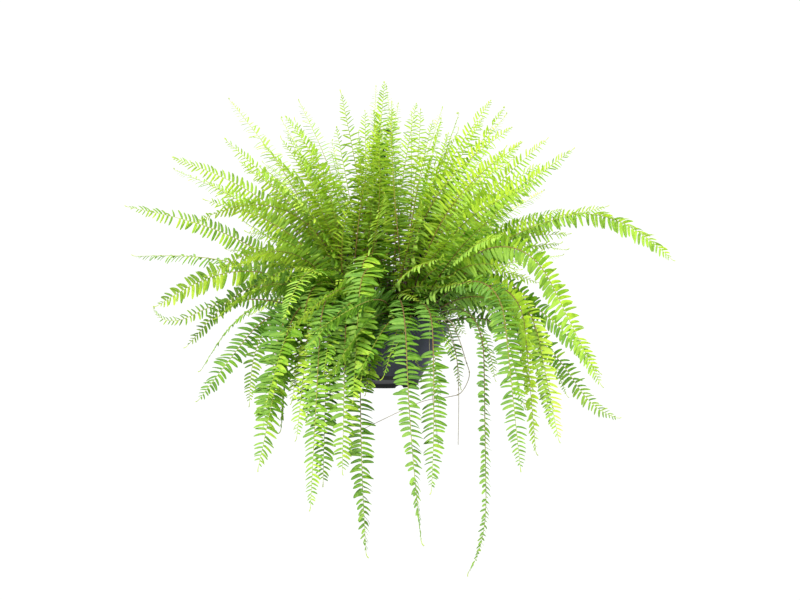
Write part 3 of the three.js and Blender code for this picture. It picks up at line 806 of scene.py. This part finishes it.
class Spray:
    """A mesh that one or more fronds are grown into, with the shares that its materials read."""

    def __init__(self):
        self.bm = bmesh.new()
        self.bm.loops.layers.uv.new("leaflet")
        self.bm.faces.layers.float.new("underside")
        self.ages, self.tones = [], []

    def add_stick(self, stick, route, radius, tone, age=None):
        """Lays a stalk along the route. Its age is the share of the way, unless one is given."""
        shares = lay_cane(self.bm, stick, route, radius)
        self.ages += shares if age is None else [age] * len(shares)
        self.tones += [tone] * len(shares)
        self.bm.faces.ensure_lookup_table()
        for face in self.bm.faces[-len(stick.polygons) :]:
            face.material_index = 1

    def grow(self, frond, dice):
        """Adds a frond: its stalk, then its leaflets in pairs to the tip."""
        line = midrib(frond)
        # The steeper the frond rises, the paler and yellower its tone: partly young growth, partly painted
        # light on the top fronds.
        young_and_painted_light_tone = LOW_TONE + YOUNG_AND_PAINTED_LIGHT_TONE_GAIN * smooth_step((frond["rise"] - 15) / 60)
        tone = frond.get("tone", young_and_painted_light_tone) + dice.uniform(-TONE_CHANCE, TONE_CHANCE)
        self.add_stick(leaf_stick, line, lambda t: STALK_RADIUS * MM * (1 - 0.75 * t), tone)
        self.add_crozier(line[-1], dice, tone)
        t = STALK_SHARE + 0.01
        while t < LAST_PAIR:
            size = fullness(frond, t)
            k = min(STATIONS - 1, int(t * STATIONS))
            u = t * STATIONS - k
            point = line[k][1].lerp(line[k + 1][1], u)
            along = line[k][2].lerp(line[k + 1][2], u).normalized()
            across = line[k][3].lerp(line[k + 1][3], u)
            across = (across - along * across.dot(along)).normalized()
            up = along.cross(across)
            pitch = LEAFLET_PITCH * (LEAST_PITCH_SHARE + (1 - LEAST_PITCH_SHARE) * min(1.0, size * 1.4))
            for side in (1, -1) if size > 0 else ():
                if dice.random() < MISSING_SHARE:
                    continue
                start = point + along * (side * 0.25 * pitch * MM)
                self.add_leaflet(frond, dice, start, (along, across * side, up), size, t, tone)
            t += pitch / frond["length"]

    def add_leaflet(self, frond, dice, start, ways, size, t, tone):
        """Adds one leaflet: it points out from the midrib, hangs a little, and turns its face to the sky."""
        along, out, up = ways
        hanging = max(0.0, -along.z)
        more = (TIP_LEAN - HANGING_TIP_LEAN * hanging) * t**3
        lean = LEAN - HANGING_LEAN * hanging + more + dice.uniform(-LEAN_CHANCE, LEAN_CHANCE)
        forward = math.radians(lean)
        axis = out * math.cos(forward) + along * math.sin(forward)
        sag = frond.get("sag", SAG) * (1 - hanging)
        axis.z -= sag + dice.uniform(-SAG_CHANCE, SAG_CHANCE) * (1 - 0.5 * hanging)
        axis.normalize()
        face = up + along * dice.uniform(-0.2, 0.2)
        gain = RISING_GAIN if along.z > 0 else HANGING_LOSS
        face.z += SKYWARD * (1 + gain * along.z) + dice.uniform(-SKYWARD_CHANCE, SKYWARD_CHANCE)
        face = (face - axis * face.dot(axis)).normalized()
        third = face.cross(axis)
        long = max(SHORTEST_LEAFLET, frond["width"] / 2 * size) * dice.uniform(*LENGTH_CHANCE) * MM
        wide = max(long, BROAD_FROM * MM) * dice.uniform(*BREADTH_CHANCE) * (1 + 0.15 * hanging)
        turn = Matrix((axis * long, third * wide, face * long * (1 - 0.4 * hanging))).transposed().to_4x4()
        hand = 1 if third.dot(along) > 0 else -1
        shape = dice.choice(LEAFLETS[hand]).copy()
        shape.transform(Matrix.Translation(start) @ turn)
        self.bm.from_mesh(shape)
        self.ages += [t] * len(shape.vertices)
        self.tones += [tone + dice.uniform(-TONE_CHANCE, TONE_CHANCE)] * len(shape.vertices)
        bpy.data.meshes.remove(shape)

    def add_crozier(self, tip, dice, tone):
        """Coils the last of the midrib up, as a frond's tip is while it still grows."""
        _, point, along, across = tip
        coil = []
        curl = dice.uniform(*COILED) if along.z > 0.3 and dice.random() < COILED_SHARE else OPENED
        for k in range(CROZIER_STEPS + 1):
            share = k / CROZIER_STEPS
            coil.append((share, point, along, across))
            turn = math.radians(-curl / CROZIER_STEPS * (0.5 + share))
            along = Matrix.Rotation(turn, 3, across) @ along
            point = point + along * (CROZIER_LENGTH * MM / CROZIER_STEPS) * (1.25 - 0.5 * share)
        self.add_stick(crozier_stick, coil, lambda share: (0.55 + 0.5 * share) * MM, tone, age=1.0)

    def done(self, name):
        self.bm.normal_update()
        piece = finish_mesh(name, self.bm, [leaf, stalk])
        for title, numbers in (("age", self.ages), ("tone", self.tones)):
            layer = piece.data.attributes.new(title, "FLOAT", "POINT")
            layer.data.foreach_set("value", numbers)
        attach(piece, "root")
        return piece


def scattered_frond(dice, crown, azimuth, rise, drop, length):
    """A frond for the plant's body, its values taken by chance from their ranges."""
    rise = dice.uniform(*rise)
    return frond_on(
        crown, dice.uniform(*azimuth), rise, rise - dice.uniform(*drop), dice.uniform(*length),
        dice.uniform(50, 62), roll=dice.uniform(-50, 50), root=dice.uniform(0, 360),
        out=dice.uniform(8, 40), sway=dice.uniform(-35, 35),
    )


def make_fronds():
    """Grows the main fronds one by one, and the plant's body in groups."""
    for number, frond in enumerate(FRONDS, 1):
        spray = Spray()
        spray.grow(frond, random.Random(100 + number))
        piece = spray.done(f"fern_frond_{number:02d}")
        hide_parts(f"frond_{number:02d}")
    for place, rows in INNER_FRONDS.items():
        dice = random.Random(place)
        spray = Spray()
        for frond in rows:
            spray.grow(frond, dice)
        spray.done(f"fern_body_{place}")
    for place, (count, *ranges) in SCATTERED_FRONDS.items():
        dice = random.Random(place)
        spray = Spray()
        for _ in range(count):
            spray.grow(scattered_frond(dice, *ranges), dice)
        spray.done(f"fern_body_{place}")


# ---------------------------------------------------------------- runners, crowns and soil

RUNNER_RADIUS, RUNNER_BUDS = 0.9, 5
RUNNERS = (
    (
        (58, -38, -421), (84, -104, -411), (89, -122, -428), (88, -128, -480), (92, -130, -560),
        (104, -132, -665),
    ),
    (
        (76, -24, -422), (124, -46, -408), (144, -60, -440), (160, -74, -495), (166, -80, -525),
        (150, -90, -558), (126, -100, -568), (80, -115, -577), (36, -130, -597), (-44, -145, -637),
    ),
    (
        (76, -30, -422), (104, -82, -410), (122, -100, -428), (138, -115, -480), (143, -120, -560),
        (141, -122, -661),
    ),
)
OLD_STUBS, YOUNG_FRONDS, CRUMBS = 46, 6, 420


def upright_along(way):
    """The turn that takes +Z to the way."""
    return way.to_track_quat("Z", "Y").to_matrix().to_4x4()


def make_runners():
    """Bare runners: thin hairy wires, a little uneven, with a bud now and then."""
    for number, points in enumerate(RUNNERS, 1):
        dice = random.Random(number)
        bm = bmesh.new()
        route = bend_through(points, ROD_STEPS)
        lay_cane(bm, rod, route, lambda share: RUNNER_RADIUS * MM * (1.05 - 0.45 * share))
        for _ in range(RUNNER_BUDS):
            _, place, along, across = route[dice.randrange(20, ROD_STEPS - 4)]
            size = Matrix.Diagonal((1.5 * MM, 1.5 * MM, 3.0 * MM, 1))
            bud = Matrix.Translation(place) @ upright_along(along) @ size
            bmesh.ops.create_icosphere(bm, subdivisions=1, radius=1, matrix=bud)
        piece = finish_mesh(f"bare_runner_{number}", bm, [runner_skin])
        crease(piece, 60)
        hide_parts(f"runner_{number}")
        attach(piece, "root")


def make_crowns():
    """The crowns: scaly mounds of rhizome bristling with the stubs of old stalks."""
    for side, (x, y) in CROWNS.items():
        dice = random.Random(side)
        bm = bmesh.new()
        bmesh.ops.create_icosphere(bm, subdivisions=4, radius=1)
        base = SOIL_LEVEL + SOIL_DOME + GAP
        reach = CROWN_RADIUS - 2
        for vert in bm.verts:
            p = vert.co.copy()
            rough = 1 + 0.1 * noise.noise(p * 3.0) + 0.05 * noise.noise(p * 11.0)
            spread = p.to_2d().length
            height = CROWN_HEIGHT * (1 - min(1.0, spread) ** 2) if p.z > 0 else 0.0
            vert.co = Vector((x + p.x * reach * rough, y + p.y * reach * rough, base + height * rough)) * MM
        for _ in range(OLD_STUBS):
            out, azimuth = dice.uniform(4, 38), dice.uniform(0, 360)
            foot = Vector((x, y, crown_top(out) - 3)) + on_circle(out, azimuth)
            tilt = Vector((dice.uniform(-0.3, 0.3), dice.uniform(-0.3, 0.3), 1))
            lean = (on_circle(out / 40, azimuth) + tilt).normalized()
            tall = dice.uniform(8, 26)
            stub = Matrix.Translation((foot + lean * tall / 2) * MM) @ upright_along(lean)
            sizes = dict(radius1=1.9 * MM, radius2=1.2 * MM, depth=tall * MM)
            bmesh.ops.create_cone(bm, cap_ends=True, segments=6, matrix=stub, **sizes)
        crown = finish_mesh(f"scaly_crown_{side}", bm, [scales])
        crease(crown, 50)
        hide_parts(f"crown_{side}")
        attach(crown, "root")


def make_croziers():
    """Young fronds still coiled at their tips, between the older stalks."""
    bm = bmesh.new()
    dice = random.Random(5)
    for x, y in CROWNS.values():
        for _ in range(YOUNG_FRONDS):
            out, azimuth = dice.uniform(6, 34), dice.uniform(0, 360)
            tall = dice.uniform(45, 110)
            point = Vector((x, y, crown_top(out) - 1)) + on_circle(out, azimuth)
            route = []
            across = on_circle(1, azimuth + 90)
            for k in range(STATIONS + 1):
                share = k / STATIONS
                curl = max(0.0, (share - 0.6) / 0.4)
                slope = math.radians(88 - 20 * share - 620 * curl**1.3)
                along = on_circle(math.cos(slope), azimuth) + Vector((0, 0, math.sin(slope)))
                route.append((share, point * MM, along, across))
                point = point + along * (tall * 1.25 / STATIONS) * (1 - 0.55 * curl)
            lay_cane(bm, leaf_stick, route, lambda share: (1.5 - 0.6 * share) * MM)
    piece = finish_mesh("young_croziers", bm, [stalk])
    ages = [0.6] * len(piece.data.vertices)
    piece.data.attributes.new("age", "FLOAT", "POINT").data.foreach_set("value", ages)
    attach(piece, "root")


def make_soil_crumbs():
    """Crumbs of bark and peat over the soil, which stays as the CAD has it and takes the same material."""
    dice = random.Random(11)
    bm = bmesh.new()
    for _ in range(CRUMBS):
        spread = 112 * math.sqrt(dice.random())
        height = SOIL_LEVEL + 1.5 * (1 - spread / 116) + 1.0
        place = on_circle(spread, dice.uniform(0, 360)) + Vector((0, 0, height))
        size = dice.uniform(1.2, 4.2)
        turn = Matrix.Rotation(dice.uniform(0, 6.28), 4, "Z")
        turn = turn @ Matrix.Rotation(dice.uniform(-0.5, 0.5), 4, "X")
        sides = (size * MM, size * dice.uniform(0.5, 0.9) * MM, size * dice.uniform(0.3, 0.6) * MM, 1)
        crumb = Matrix.Translation(place * MM) @ turn @ Matrix.Diagonal(sides)
        bmesh.ops.create_icosphere(bm, subdivisions=1, radius=1, matrix=crumb)
    piece = finish_mesh("soil_crumbs", bm, [peat])
    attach(piece, "root")
    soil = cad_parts["potting_soil"]
    soil.data.materials.clear()
    soil.data.materials.append(peat)


def make_floor():
    """The plain floor, far enough below for the longest fronds to hang clear."""
    bm = bmesh.new()
    level = Matrix.Translation((0, 0, FLOOR_LEVEL))
    bmesh.ops.create_grid(bm, x_segments=1, y_segments=1, size=FLOOR_REACH, matrix=level)
    floor = finish_mesh("studio_floor", bm, [paper])


make_pot()
make_hanger()
make_fronds()
make_runners()
make_crowns()
make_croziers()
make_soil_crumbs()
make_floor()
